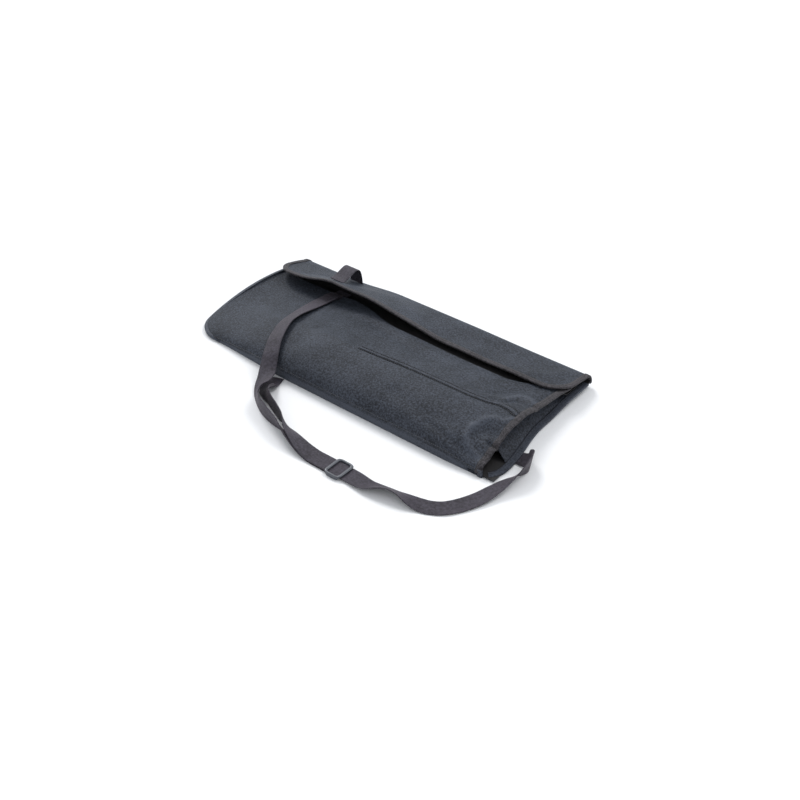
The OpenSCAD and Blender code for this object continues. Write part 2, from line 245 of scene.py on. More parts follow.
def wall_h(x):
    """Height of the near wall."""
    return 3.4 + 8.6 * ramp(x, left_x, left_x + 200)


def crown_h(x):
    """Height of the crown."""
    return 18 + 28 * ramp(x, left_x, left_x + 235) - 4 * ramp(x, right_x - 130, right_x)


def fold_h(x):
    """Height of the fold that the flap makes over the far side."""
    return 15.5 + 9 * ramp(x, left_x + 100, left_x + 205) - 1.5 * ramp(x, right_x - 200, right_x - 80)


def seam_h(t):
    """Height of the left end's seam, from its near end to the mouth."""
    return 5 + 52 * t * (1 - t) + 5 * t


def front_point(x, s):
    """Front panel before it creases: s is 0 at the near seam, crown_s at the top of the shoulder
    and 1 at the mouth."""
    x, s = np.broadcast_arrays(np.asarray(x, float), np.asarray(s, float))
    y0 = near_y(x)
    yk = y0 + shoulder_w
    a = np.minimum(s / crown_s, 1) * math.pi / 2
    t = np.clip((s - crown_s) / (1 - crown_s), 0, 1)
    y = np.where(s < crown_s, yk - shoulder_w * np.cos(a), yk + (mouth_y - yk) * t)
    z = np.where(s < crown_s, wall_h(x) + (crown_h(x) - wall_h(x)) * np.sin(a),
                 fold_h(x) - 4 + (crown_h(x) - fold_h(x) + 4) * (1 - t) ** 1.45)
    u = (y - y0) / (mouth_y - y0)
    k = np.sin(math.pi / 2 * np.clip((x - left_x) / 70, 0, 1))
    return np.stack([x, y, seam_h(u) * (1 - k) + z * k], -1)


def front_s(x, y):
    """The s of the front panel that lies at y."""
    yk = near_y(x) + shoulder_w
    return np.where(y > yk, crown_s + (1 - crown_s) * (y - yk) / (mouth_y - yk),
                    crown_s * np.arccos(np.clip((yk - y) / shoulder_w, -1, 1)) / (math.pi / 2))


def from_line(x, y, path):
    """Distance in plan from each point to a path of straight runs."""
    nearest = np.full(np.shape(x), 1e9)
    for (ax, ay), (bx, by) in zip(path, path[1:]):
        run = (bx - ax) ** 2 + (by - ay) ** 2
        t = np.clip(((x - ax) * (bx - ax) + (y - ay) * (by - ay)) / run, 0, 1)
        nearest = np.minimum(nearest, np.hypot(x - ax - t * (bx - ax), y - ay - t * (by - ay)))
    return nearest


# Creases of the front panel: [path in plan], half width, height (a hollow is negative)
creases = [
    ([(223, -88), (224, -104), (232, -110), (241, -114), (254, -116), (263, -119)], 5.2, 2.7),
    ([(223, -88), (226, -76), (230, -66), (238, -59), (249, -58), (254, -47)], 5.5, 2.2),
    ([(238, -82), (250, -80)], 13, -6.0),
    ([(250, -90), (258, -93), (266, -93)], 2.8, -4.5),
    ([(222, -10), (228, 6), (237, 12), (255, 7)], 6.0, 2.2),
    ([(205, -24), (222, -20), (236, -5), (263, -4)], 4.0, -2.0),
    ([(150, -8), (190, -16), (203, -6), (212, 10), (226, 27)], 7.0, -1.6),
    ([(256, 9), (253, 25), (255, 47), (261, 76)], 4.0, -1.6),
    ([(170, -112), (229, -120), (250, -118)], 5.0, -1.5),
    ([(120, 14), (170, 20), (215, 40)], 9.0, 1.3),
    ([(-60, 46), (0, 30), (70, 22)], 12.0, 1.4),
    ([(-40, 24), (30, 6), (90, -4)], 10.0, -1.1),
    ([(-72, -30), (-90, -62), (-80, -92)], 12.0, -1.6),
    ([(-30, -62), (20, -78), (90, -84)], 13.0, 1.2),
    ([(-190, 52), (-150, 66), (-100, 58)], 9.0, -1.6),
    ([(-215, 34), (-196, -6), (-190, -50)], 16.0, 1.0),
    ([(100, -96), (150, -104), (200, -98)], 10.0, -1.4),
]
# Height that the end of the front panel gains or loses where nothing holds it up
end_y = [-128, -116, -108, -98, -87, -70, -50, -28, 14, 50, 88, 110]
end_rise = [-6, -13, -13, -10, -7, -3.5, -2.5, 3.5, 2, 3.4, 2.6, 3.5]


def panel_point(x, s):
    """The creased front panel."""
    p = front_point(x, s)
    px, py = p[..., 0], p[..., 1]
    lift = np.interp(py, end_y, end_rise) * ramp(px, 200, 258)
    for path, half_width, height in creases:
        lift = lift + height * np.exp(-(from_line(px, py, path) / half_width) ** 2)
    slack = 0.5 * np.sin(px / 31 + 1.7 * np.sin(py / 43)) + 0.35 * np.sin(py / 17 + px / 53)
    inside = ramp(px, left_x, left_x + 25) * ramp(s, 0, 0.08) * ramp(1 - s, 0, 0.05)
    p[..., 2] += (lift + slack) * inside + np.interp(py, end_y, end_rise) * ramp(px, 200, 258) \
        * (1 - inside)
    return p


def mouth_edge(x):
    """Where the nylon of the front panel ends: under the flap's lip in the middle, and farther
    back towards both ends."""
    middle, left_back, right_back = 37, 35, 25
    return middle + left_back * ramp(-x, 0, 125) + right_back * ramp(x, 185, 262)


def facing_drop(x, y):
    """How far the black facing behind the mouth's edge lies under the line of the panel."""
    least, sag = 1.5, 5.5
    edge = mouth_edge(x)
    return least + sag * ramp(y, edge - 3, edge + 9) * (1 - ramp(y, 88, 106))


def grid_normals(grid):
    """Unit normals of a grid of points, on the side where rows x columns turn right-handed."""
    normal = np.cross(np.gradient(grid, axis=0), np.gradient(grid, axis=1))
    return normal / np.maximum(np.linalg.norm(normal, axis=-1, keepdims=True), 1e-9)


def cloth_piece(name, outer, thick=cloth_t, painted_light_and_tone=None, turn=False):
    """Cloth with thickness. outer is a grid of points on its face side, whose normals point out
    unless turn is set. Its UV map is the distance along the cloth, in metres."""
    normal = grid_normals(outer) * (-1 if turn else 1)
    rows, cols = outer.shape[:2]
    points = np.concatenate([outer.reshape(-1, 3), (outer - normal * thick).reshape(-1, 3)])
    index = np.arange(rows * cols).reshape(rows, cols)
    lining = index + rows * cols
    quads = np.stack([index[:-1, :-1], index[1:, :-1], index[1:, 1:], index[:-1, 1:]], -1)
    back = np.stack([lining[:-1, :-1], lining[:-1, 1:], lining[1:, 1:], lining[1:, :-1]], -1)

    def rim(a, b):
        return np.stack([a[:-1], a[1:], b[1:], b[:-1]], -1)

    rims = np.concatenate([rim(index[:, 0], lining[:, 0]), rim(lining[:, -1], index[:, -1]),
                           rim(lining[0], index[0]), rim(index[-1], lining[-1])])
    faces = np.concatenate([quads.reshape(-1, 4), back.reshape(-1, 4), rims])
    if turn:
        faces = faces[:, ::-1]
    piece = plain_mesh(name, points, faces.tolist())
    along = np.linalg.norm(np.diff(outer, axis=0, prepend=outer[:1]), axis=-1).cumsum(0)
    across = np.linalg.norm(np.diff(outer, axis=1, prepend=outer[:, :1]), axis=-1).cumsum(1)
    uv = np.tile(np.stack([along, across], -1).reshape(-1, 2) * MM, (2, 1))
    finish_mesh(piece, uv)
    shine = np.zeros(len(points)) if painted_light_and_tone is None else np.tile(np.ravel(painted_light_and_tone), 2)
    piece.data.attributes.new("painted_light_and_tone", "FLOAT", "POINT").data.foreach_set("value", shine)
    on_back = np.zeros(len(faces), np.int32)
    on_back[(rows - 1) * (cols - 1):-len(rims)] = 1
    piece.data.polygons.foreach_set("material_index", on_back)
    return piece


def finish_mesh(piece, uv, sharp=50):
    """Smooth shading with sharp rims, and the UV map from a pair for each vertex."""
    mesh = piece.data
    mesh.polygons.foreach_set("use_smooth", [True] * len(mesh.polygons))
    mesh.set_sharp_from_angle(angle=math.radians(sharp))
    corner = np.zeros(len(mesh.loops), np.int32)
    mesh.loops.foreach_get("vertex_index", corner)
    mesh.uv_layers.new(name="cloth").data.foreach_set("uv", uv[corner].ravel())


def woven(name, dark, light, pitch, depth, rough, ribs=0.0, **shader):
    """Woven yarn: crossing warp and weft in two tones, a mottle where the yarn is uneven, and a
    per-point tone offset that makes the cloth paler and smoother where it is higher: painted
    highlight and painted shade on the panels, the wall and the flap, a plain paler tone on the nylon
    bindings."""
    material, shade, plug = finish_of(name, **shader)
    uv = shade.node("ShaderNodeUVMap", {"uv_map": "cloth"})
    u = shade.node("ShaderNodeSeparateXYZ", {}, {"Vector": uv}, out=0) * (math.tau / pitch)
    v = shade.node("ShaderNodeSeparateXYZ", {}, {"Vector": uv}, out=1) * (math.tau / pitch)
    yarn = (u.sin() * v.sin()) * 0.5 + 0.5
    rib = (u * 0.5).sin().abs() * ribs
    mottle = shade.noise(420.0, 3.0, Roughness=0.65)
    cloud = shade.noise(22.0)
    painted_light_and_tone = shade.node("ShaderNodeAttribute", {"attribute_name": "painted_light_and_tone"}, out=2)
    # the per-point offset paints highlight and shade into the colour
    tone = (yarn * 0.30 + mottle * 3.4 + cloud * 0.8 + painted_light_and_tone * 0.5 - 1.85).clamp()
    plug(Base_Color=tone.between(dark, light), Roughness=mottle * 0.18 - painted_light_and_tone * 0.12 + rough,
         Normal=(yarn + rib + mottle * 1.6).bump(0.55, depth))
    return material


nylon = woven("slate_nylon", (0.009, 0.0105, 0.0145), (0.058, 0.066, 0.086), 0.0011, 0.00022, 0.5,
              Specular_IOR_Level=0.2, Sheen_Weight=0.06, Sheen_Roughness=0.4,
              Sheen_Tint=(0.7, 0.85, 1, 1))
# Painted shade: the lining is set near black, darker than the cloth, for the shade in the mouth and
# the right end's recess.
lining = woven("black_lining_painted_darker", (0.004, 0.0036, 0.004), (0.014, 0.0125, 0.013), 0.0011, 0.0001, 0.6)
tape = woven("binding_tape", (0.014, 0.0125, 0.0145), (0.066, 0.060, 0.068), 0.0009, 0.00025, 0.6,
             ribs=0.5, Specular_IOR_Level=0.25, Sheen_Weight=0.06, Sheen_Roughness=0.5)


def fitted(piece, finishes, body=None, node=None):
    """Gives a piece its finishes in material slots, parents it to the body that it rides on, and
    hides the solid that it stands for, where it has them."""
    for finish in finishes:
        piece.data.materials.append(finish)
    if body:
        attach(piece, body)
    if node:
        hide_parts(node)


# ---- Back panel ----
# One cut of nylon that lies on the table. Its far side rolls up to the flap's hinge, and its
# right end sticks out past the bellows, held off the table by the strap sewn under it.
def end_x(y):
    """The right end of the back panel, cut back at its near corner."""
    far_out, near_out, cut_y, cut_long = 3.5, 15, -96, 27
    c = np.clip((cut_y - y) / cut_long, 0, 0.98)
    return right_x + far_out + near_out * (ramp(-y, -10, 95) - 1 + np.sqrt(1 - c * c))


def back_lift(x, y):
    """How far the right end of the back panel stands off the table, most of all at its far side."""
    return ramp(x, 222, 264) * (1.9 + 6.0 * ramp(y, 15, 80))


def back_point(x, q):
    """q runs from 0 at the near seam over 1 at the foot of the roll to 2 at its top."""
    x, q = np.broadcast_arrays(np.asarray(x, float), np.asarray(q, float))
    y0 = near_y(np.minimum(x, right_x)) + 1.6
    a = np.clip(q - 1, 0, 1) * math.pi / 2
    top = hinge_z - 1.5
    y = y0 + (hinge_y - roll_w - y0) * np.minimum(q, 1) + roll_w * np.sin(a)
    return np.stack([x, y, top - top * np.cos(a) + 0.02], -1)


qs = spaced((0, 0.9, 64), (0.92, 1, 5), (1.1, 2, 10))
back_start = left_x + 5
back_x_end = end_x(back_point(back_start, qs)[:, 1])
back_grid = back_point(back_start + (back_x_end - back_start) * np.linspace(0, 1, 190)[:, None], qs)
back_grid[..., 2] += back_lift(back_grid[..., 0], back_grid[..., 1])
back_panel = cloth_piece("back_panel_cloth", back_grid, turn=True)
fitted(back_panel, (nylon, lining), "bag", "back_panel")

# ---- Near wall ----
# The low side wall between the two panels, sewn along both its edges. Its right end is pinched
# in where the bellows folds.
wall_xs = spaced((left_x + 8, left_x + 70, 30), (left_x + 72, right_x - 1, 190))
wx, wt = np.meshgrid(wall_xs, np.linspace(0, 1, 13), indexing="ij")
top_z = panel_point(wx, 0.0)[..., 2] - 0.5
pinch_x, pinch_half, pinch_depth = 251, 6, 9
tucked = np.exp(-((wx - pinch_x) / pinch_half) ** 4) * np.sin(math.pi * wt) ** 0.5
swell = 0.8 + 0.5 * np.sin(wx / 23) * np.sin(wx / 41 + 1)
wall_y = near_y(wx) + 0.7 - swell * np.sin(math.pi * wt) + pinch_depth * tucked
wall_grid = np.stack([wx, wall_y, 0.25 + (top_z - 0.25) * wt], -1)
# Painted light: the wall is drawn paler all over; painted shade: darker in the bellows pinch.
near_wall = cloth_piece("near_wall_cloth", wall_grid, painted_light_and_tone=1.1 - 4.5 * tucked)
fitted(near_wall, (nylon, lining), "bag", "near_gusset")

# ---- Left end ----
# A narrow strip of the same nylon closes the left end, under the bound seam.
end_ts = np.linspace(0, 1, 70)
end_y0, end_y1 = near_y(left_x + 1) + 2, mouth_y - 1
et, ez = np.meshgrid(end_ts, np.linspace(0, 1, 9), indexing="ij")
end_top = seam_h(et) - 1.6
left_grid = np.stack([left_x + 3.4 - 2.2 * ez - 1.2 * np.sin(math.pi * ez),
                      end_y0 + (end_y1 - end_y0) * et, 0.25 + (end_top - 0.25) * ez], -1)
left_end = cloth_piece("left_end_cloth", left_grid, turn=True)
fitted(left_end, (nylon, lining), "bag", "left_end_gusset")

# ---- Front panel ----
# The filled top of the bag. It creases over what is inside, caves in by its near right corner,
# and has a stitched welt along the middle, the mouth of the inner pocket.
welt = [(1, -50), (68, -45), (135, -42), (180, -39.5), (205, -35), (224, -29), (241, -31), (254, -36)]
welt_half = 3.4
panel_xs = spaced((left_x + 1, left_x + 60, 30), (left_x + 62, 198, 165), (200, right_x - 1, 46))
panel_ss = spaced((0, 0.38, 62), (0.386, 0.54, 54), (0.55, 1, 36))
px, ps = np.meshgrid(panel_xs, panel_ss, indexing="ij")
edge_s = front_s(px, mouth_edge(px))
even_s = 0.54
ps = np.where(ps > even_s, even_s + (edge_s - even_s) * (ps - even_s) / (1 - even_s), ps)
panel_grid = panel_point(px, ps)
to_welt = from_line(px, panel_grid[..., 1], welt)
raised = (1 - ramp(to_welt, welt_half - 0.9, welt_half + 0.4)) * ramp(px, -1, 3)
pulled = np.exp(-((to_welt - welt_half - 0.4) / 1.4) ** 2) * ramp(px, 0, 4) \
    * (1 - 0.4 * ramp(px, 62, 95))
panel_grid[..., 2] += 0.9 * raised - 2.0 * pulled
# Painted highlight along the high creases and the welt's top; painted shade in the welt's groove.
tone_shift = sum(np.exp(-(from_line(px, panel_grid[..., 1], path) / (half * 0.8)) ** 2) * height / 3
             for path, half, height in creases if height > 2) + 0.25 * raised - 2.6 * pulled
front_panel = cloth_piece("front_panel_cloth", panel_grid, painted_light_and_tone=tone_shift)
fitted(front_panel, (nylon, lining), "bag", "front_panel")

# ---- Mouth facing ----
# A strip of black lining, sewn under the nylon's edge and carried on to the hem of the mouth. It
# lies a little lower than the nylon, and its near-black colour is painted shade for the gap under
# the flap's lip, so the mouth reads as a dark line there.
facing_lap = 9
facing_x, facing_t = np.meshgrid(np.linspace(left_x + 8, right_x - 1.5, 200),
                                 np.linspace(0, 1, 44), indexing="ij")
facing_start = mouth_edge(facing_x) - facing_lap
facing_y = facing_start + (mouth_y - 0.5 - facing_start) * facing_t
facing_grid = panel_point(facing_x, front_s(facing_x, facing_y))
facing_grid[..., 2] -= facing_drop(facing_x, facing_y)
mouth_facing_shade = cloth_piece("mouth_facing_shade_cloth", facing_grid, thick=0.8)
fitted(mouth_facing_shade, (lining, lining), "bag")

# ---- Stitching ----
# Bonded thread, sewn by machine: a row of short tight stitches half sunk in the cloth. One tree
# of nodes lays a stitch at every step along a drawn line.
class Tree:
    """A tree of geometry nodes with named inputs."""

    def __init__(self, name, **inputs):
        self.tree = bpy.data.node_groups.new(name, "GeometryNodeTree")
        sockets = self.tree.interface
        self.ids = {label: sockets.new_socket(label, in_out="INPUT",
                                              socket_type="NodeSocket" + kind).identifier
                    for label, kind in inputs.items()}
        sockets.new_socket("Geometry", in_out="OUTPUT", socket_type="NodeSocketGeometry")
        self.given = self.tree.nodes.new("NodeGroupInput").outputs

    def add(self, kind, settings=(), **links):
        """Adds a node, its settings first, and gives back its first output."""
        node = self.tree.nodes.new(kind)
        for name, value in dict(settings).items():
            setattr(node, name, value)
        for name, value in links.items():
            socket = node.inputs[name.replace("_", " ")]
            if isinstance(value, bpy.types.NodeSocket):
                self.tree.links.new(value, socket)
            else:
                socket.default_value = value
        return node.outputs[0]

    def end_with(self, instances, material):
        """Makes the instances real, in a material, and puts them out."""
        real = self.add("GeometryNodeRealizeInstances", Geometry=instances)
        dressed = self.add("GeometryNodeSetMaterial", Geometry=real, Material=material)
        made = self.tree.nodes.new("NodeGroupOutput")
        self.tree.links.new(dressed, made.inputs["Geometry"])


stitching = Tree("machine_stitch", Geometry="Geometry", Pitch="Float", Length="Float",
                 Radius="Float", Thread="Material")
given = stitching.given
line = stitching.add("GeometryNodeMeshToCurve", Mesh=given["Geometry"])
evenly = stitching.add("GeometryNodeResampleCurve", {"mode": "LENGTH"}, Curve=line,
                       Length=given["Pitch"])
turn = stitching.add("FunctionNodeAlignRotationToVector", {"axis": "Z"},
                     Vector=stitching.add("GeometryNodeInputTangent"))
bead = stitching.add("GeometryNodeMeshUVSphere", Segments=6, Rings=4, Radius=1.0)
size = stitching.add("ShaderNodeCombineXYZ", X=given["Radius"], Y=given["Radius"],
                     Z=given["Length"])
stitch = stitching.add("GeometryNodeTransform", Geometry=bead, Scale=size)
row = stitching.add("GeometryNodeInstanceOnPoints", Points=evenly, Instance=stitch, Rotation=turn)
stitching.end_with(row, given["Thread"])
thread, shade, plug = finish_of("bonded_thread", Roughness=0.5, Sheen_Weight=0.3)
plug(Base_Color=shade.noise(900.0).between((0.014, 0.014, 0.016), (0.055, 0.055, 0.06)))


def baked(name, source, tree, values):
    """The plain mesh that a tree of nodes makes of a source object, which is then removed."""
    modifier = source.modifiers.new("nodes", "NODES")
    modifier.node_group = tree.tree
    for label, value in values.items():
        modifier[tree.ids[label]] = value
    bpy.context.view_layer.update()
    graph = bpy.context.evaluated_depsgraph_get()
    mesh = bpy.data.meshes.new_from_object(source.evaluated_get(graph))
    source.modifiers.remove(modifier)
    bpy.data.objects.remove(source)
    piece = bpy.data.objects.new(name, mesh)
    bpy.context.collection.objects.link(piece)
    return piece


def sewn(name, lines, body=None, pitch=3.2, length=2.5, radius=0.34):
    """Rows of stitches along lines of points in millimetres, as one piece."""
    points = np.concatenate(lines)
    ends = np.cumsum([0] + [len(line) for line in lines])
    edges = [(i, i + 1) for a, b in zip(ends, ends[1:]) for i in range(a, b - 1)]
    piece = baked(name, plain_mesh(name + "_line", points, [], edges), stitching,
                  {"Pitch": pitch * MM, "Length": length / 2 * MM, "Radius": radius * MM,
                   "Thread": thread})
    piece.data.polygons.foreach_set("use_smooth", [True] * len(piece.data.polygons))
    fitted(piece, (), body)
    return piece


def on_panel(x, y, lift=0.0):
    """Points on the creased front panel, by their place in plan."""
    p = panel_point(x, front_s(x, y))
    p[..., 2] += lift
    return p


def beside(path, offset, step=2.0):
    """A path in plan, walked in even steps at an offset to its left."""
    path = np.array(path, float)
    walked = np.concatenate([[0], np.linalg.norm(np.diff(path, axis=0), axis=1).cumsum()])
    at = np.arange(0, walked[-1], step)
    x, y = np.interp(at, walked, path[:, 0]), np.interp(at, walked, path[:, 1])
    dx, dy = np.gradient(x), np.gradient(y)
    size = np.hypot(dx, dy)
    return x - dy / size * offset, y + dx / size * offset


welt_rows = [on_panel(*beside(welt, side * (welt_half + 0.4)), lift=-0.35) for side in (-1, 1)]
wall_row_x = np.linspace(left_x + 30, right_x - 6, 240)
wall_row = panel_point(wall_row_x, 0.035)
wall_row[:, 2] += 0.15
sewn("front_panel_stitches", welt_rows + [wall_row], "bag")

# ---- Inner pocket ----
# A cloth pocket sewn behind the welt, hanging just under the front panel.
pocket_drop = 4.7
pocket_x, pocket_y = np.meshgrid(np.linspace(10, right_x - 30, 60),
                                 np.linspace(seam_y + 86, far_y - 40, 40), indexing="ij")
pocket_grid = on_panel(pocket_x, pocket_y, lift=-pocket_drop)
inner_pocket = cloth_piece("inner_pocket_cloth", pocket_grid, thick=0.9)
fitted(inner_pocket, (lining, lining), "bag", "inner_pocket")

# ---- Bellows ----
# The right end folds inwards: a lower leaf rises from the back panel's end to an inner crease,
# and an upper leaf comes back out to the front panel's end. It is one strip, pleated.
# The pleat gets shallower near the open corner, where nothing pulls it in.
crease_x = right_x - 25
crease_share, foot_inset, foot_gap, leaf_gap = 0.62, 8.5, 1.3, 1.5
leaf_y = np.linspace(seam_y + 42, mouth_y - 2, 90)
rim = panel_point(right_x - 2.0, front_s(right_x - 2.0, leaf_y))
inner_z = rim[:, 2] * crease_share + 1.0 * np.sin(leaf_y / 26)
near_in = 4 * ramp(-leaf_y, 68, 86)
near_back = 9 * ramp(-leaf_y, 60, 86)
foot_x = end_x(leaf_y) - foot_inset
foot_z = cloth_t + back_lift(foot_x, leaf_y) + foot_gap
lt = np.linspace(0, 1, 16)[:, None]
wave = 1.1 * np.sin(leaf_y / 19 + 0.6)[None] * np.sin(math.pi * lt)
lower_grid = np.stack([
    foot_x[None] + (crease_x - foot_x[None] + near_in[None]) * lt + wave * 0.6,
    leaf_y[None] + lt * near_back[None],
    foot_z[None] + (inner_z - foot_z)[None] * lt ** 0.85 + wave], -1)
bellows_lower = cloth_piece("bellows_lower_cloth", lower_grid, turn=True)
upper_grid = np.stack([
    crease_x + near_in[None] + (right_x - 3.2 - crease_x - near_in[None]) * lt,
    leaf_y[None] + (1 - lt) * near_back[None],
    inner_z[None] + leaf_gap + (rim[:, 2] - 1.7 - inner_z - leaf_gap)[None] * lt ** 1.15], -1)
bellows_upper = cloth_piece("bellows_upper_cloth", upper_grid, turn=True)
for piece, node in ((bellows_lower, "bellows_lower_leaf"), (bellows_upper, "bellows_upper_leaf")):
    fitted(piece, (nylon, lining), "bag", node)


# ---- Binding tapes ----
# Every cut edge that shows is bound with a strip folded in half over it and sewn through, one row
# of stitches near the strip's own edge. The mouth, the flap and the front panel's end have ribbed
# tape; the back panel's end, the left end and the near corner have the bag's own nylon, drawn a
# paler tone than the panels.
def swept(name, centre, side, normal, profile, closed=False):
    """A closed profile of (side, normal) distances, carried along a line of points. side, normal
    and profile are each one for the whole line or one for every point."""
    centre, side, normal = (np.broadcast_to(v, np.shape(centre)) for v in (centre, side, normal))
    profile = np.asarray(profile, float)
    if profile.ndim == 2:
        profile = np.broadcast_to(profile, (len(centre), *profile.shape))
    points = centre[:, None] + side[:, None] * profile[..., :1] + normal[:, None] * profile[..., 1:]
    rings, sides = points.shape[:2]
    index = np.arange(rings * sides).reshape(rings, sides)
    if closed:
        index = np.concatenate([index, index[:1]])
    turned = np.roll(index, -1, axis=1)
    faces = np.stack([index[:-1], turned[:-1], turned[1:], index[1:]], -1).reshape(-1, 4).tolist()
    if not closed:
        faces += [index[0, ::-1].tolist(), index[-1].tolist()]
    piece = plain_mesh(name, points.reshape(-1, 3), faces)
    along = np.linalg.norm(np.diff(centre, axis=0, prepend=centre[:1]), axis=1).cumsum()
    round_it = np.linalg.norm(np.diff(profile[0], axis=0, prepend=profile[0][:1]), axis=1).cumsum()
    uv = np.stack(np.broadcast_arrays(along[:, None], round_it[None]), -1).reshape(-1, 2) * MM
    finish_mesh(piece, uv, sharp=60)
    piece.data.attributes.new("painted_light_and_tone", "FLOAT", "POINT")
    return piece


def bound(name, edge, normal, node, lap=8.0, flip=1, finish=tape, tone_shift=0.0, body="bag"):
    """A strip folded over an edge of cloth. edge is on the cloth's face, normal points out of the
    face, and flip turns the side that the strip's width lies on. Gives back the piece and the
    line of its stitches."""
    normal = np.broadcast_to(normal, edge.shape)
    way = np.gradient(edge, axis=0)
    side = np.cross(normal, way) * flip
    side /= np.linalg.norm(side, axis=1, keepdims=True)
    stitch_in, stitch_up = 2.0, 1.02
    bend = np.radians(np.linspace(90, 270, 7))
    # the strip's section: its top, the bend round the edge, its underside, and back along the inside
    outer = [(lap, 0.75), (lap - 0.4, 0.95), (lap * 0.5, 1.15), (0.3, 0.95)]
    outer += [(1.5 * math.cos(a), -0.6 + 1.55 * math.sin(a)) for a in bend]
    outer += [(0.3, -2.15), (lap * 0.5, -2.2), (lap - 0.4, -2.1), (lap, -1.95)]
    inner = [(lap, -1.35), (0.2, -1.35), (-0.55, -0.6), (0.2, 0.12), (lap, 0.12)]
    profile = np.array(outer + inner)
    if flip < 0:
        profile = profile[::-1]
    piece = swept(name, edge, side, normal, profile)
    piece.data.attributes["painted_light_and_tone"].data.foreach_set("value", [tone_shift] * len(piece.data.vertices))
    fitted(piece, (finish,), body, node)
    return piece, edge + side * (lap - stitch_in) + normal * stitch_up


def unit(v):
    """Vectors of length one."""
    return v / np.maximum(np.linalg.norm(v, axis=-1, keepdims=True), 1e-9)


def face_normal(surface, u, v, du=0.6, dv=0.006):
    """Normal of a surface given as a function of two values."""
    return unit(np.cross(surface(u + du, v) - surface(u - du, v),
                         surface(u, v + dv) - surface(u, v - dv)))


# Right end of the front panel, from the near seam to the mouth
tape_s = spaced((0, 0.38, 60), (0.39, 0.985, 70))
tape_normal = face_normal(panel_point, right_x - 2.0, np.clip(tape_s, 0.01, 0.98))
_, front_row = bound("front_end_tape", panel_point(right_x - 1.0, tape_s), tape_normal,
                     "front_end_binding")

# Right end of the back panel, all along its curve
back_y = np.linspace(-121.5, far_y - 10, 130)
back_edge_z = np.maximum(cloth_t + 0.02 + back_lift(end_x(back_y), back_y), 2.25)
back_edge = np.stack([end_x(back_y), back_y, back_edge_z], -1)
_, back_row = bound("back_end_tape", back_edge, (0.0, 0.0, 1.0), "back_end_binding", finish=nylon,
                    tone_shift=0.75)

# Left end: the front panel and the end strip are seamed together and bound, round the corner
corner_x = np.linspace(left_x + 56, left_x + 1.0, 40)[:-1]
seam_s = spaced((0, 0.38, 40), (0.39, 1, 60))
left_edge = np.concatenate([panel_point(corner_x, 0.0), panel_point(left_x + 1.0, seam_s)])
left_normal = unit(np.array([-0.1, -0.35, 1.0]))
left_edge[:, 2] += 0.9 - 3.0 * (1 - ramp(np.arange(len(left_edge)), 0, 12))
_, left_row = bound("left_end_tape", left_edge, left_normal, "left_end_binding", lap=4.2, flip=-1,
                    finish=nylon, tone_shift=0.75)

# Short upright at the near right corner
post_z = np.linspace(0.4, 11.0, 12)
post = np.stack([right_x + 0.6 + 0 * post_z, near_y(right_x) + 0.2 + 0 * post_z, post_z], -1)
bound("near_corner_tape", post, (0.0, -1.0, 0.0), "near_corner_binding", lap=6.0, finish=nylon,
      tone_shift=0.75)

# Hem of the mouth, turned under the flap
hem_x = np.linspace(left_x + 12, right_x - 3, 220)
hem_normal = face_normal(panel_point, hem_x, 0.985)
_, hem_row = bound("mouth_hem_tape", panel_point(hem_x, 1.0), hem_normal, "mouth_hem", lap=9.0,
                   flip=-1)

sewn("bag_binding_stitches", [front_row, back_row, left_row, hem_row], "bag")

# ---- Flap ----
# One cloth with the back panel: it comes up out of the far roll, folds over the top of the bag
# and lies over the mouth. Its lip stands off the front panel, most of all at the left.
flap_d, flap_r = 78, 36
fold_v = 0.3
flap_x0, flap_x1 = left_x + 3.2, right_x + 2.8


def flap_depth(x):
    """How far the flap's lip lies from the hinge, with its round corners."""
    c = np.maximum(np.maximum(flap_r - (x - left_x - 3), flap_r - (right_x + 3 - x)), 0)
    return flap_d - flap_r + np.sqrt(np.maximum(flap_r ** 2 - c ** 2, 0))


def flap_lip(x):
    """Height of the flap's lip."""
    return 31 + 3 * ramp(-x, 180, 230) + 20 * ramp(x, left_x + 30, left_x + 130) * ramp(-x, -80, 90)


def flap_point(x, v):
    """v is 0 at the hinge, fold_v on top of the fold and 1 at the lip; below 0 it joins the roll."""
    x, v = np.broadcast_arrays(np.asarray(x, float), np.asarray(v, float))
    a = np.clip(v / fold_v, 0, 1) * math.pi / 2
    t = np.clip((v - fold_v) / (1 - fold_v), 0, 1)
    d = flap_depth(x)
    start = hinge_z + 1
    y = hinge_y - roll_w + np.where(v < fold_v, roll_w * np.cos(a), (roll_w - d) * t)
    z = np.where(v < fold_v, start + (fold_h(x) - start) * np.sin(a),
                 fold_h(x) + (flap_lip(x) - fold_h(x)) * (d - roll_w) / (flap_d - roll_w) * t)
    z = np.where(v < 0, start + v * 25, z)
    wave = 0.5 * np.sin(x / 38 + y / 50) * ramp(v, 0.2, 0.6) + 0.35 * np.sin(x / 13) * ramp(v, 0.7, 1)
    return np.stack([x, y, z + wave], -1)


flap_xs = np.concatenate([flap_x0 + 36 * (1 - np.cos(np.linspace(0, math.pi / 2, 24))),
                          np.linspace(flap_x0 + 38, flap_x1 - 38, 190),
                          flap_x1 - 36 * (1 - np.cos(np.linspace(math.pi / 2, 0, 24)))])
flap_vs = spaced((-0.1, -0.05, 2), (0, fold_v, 16), (fold_v + 0.02, 1, 40))
fx, fv = np.meshgrid(flap_xs, flap_vs, indexing="ij")
flap_grid = flap_point(fx, fv)
flap_creases = [([(-215, 70), (-180, 92), (-150, 84)], 9, -1.2),
                ([(-110, 84), (-60, 96), (0, 84)], 12, 0.9),
                ([(60, 70), (130, 88), (190, 80)], 13, -0.8),
                ([(200, 62), (232, 84), (240, 104)], 9, 1.0)]
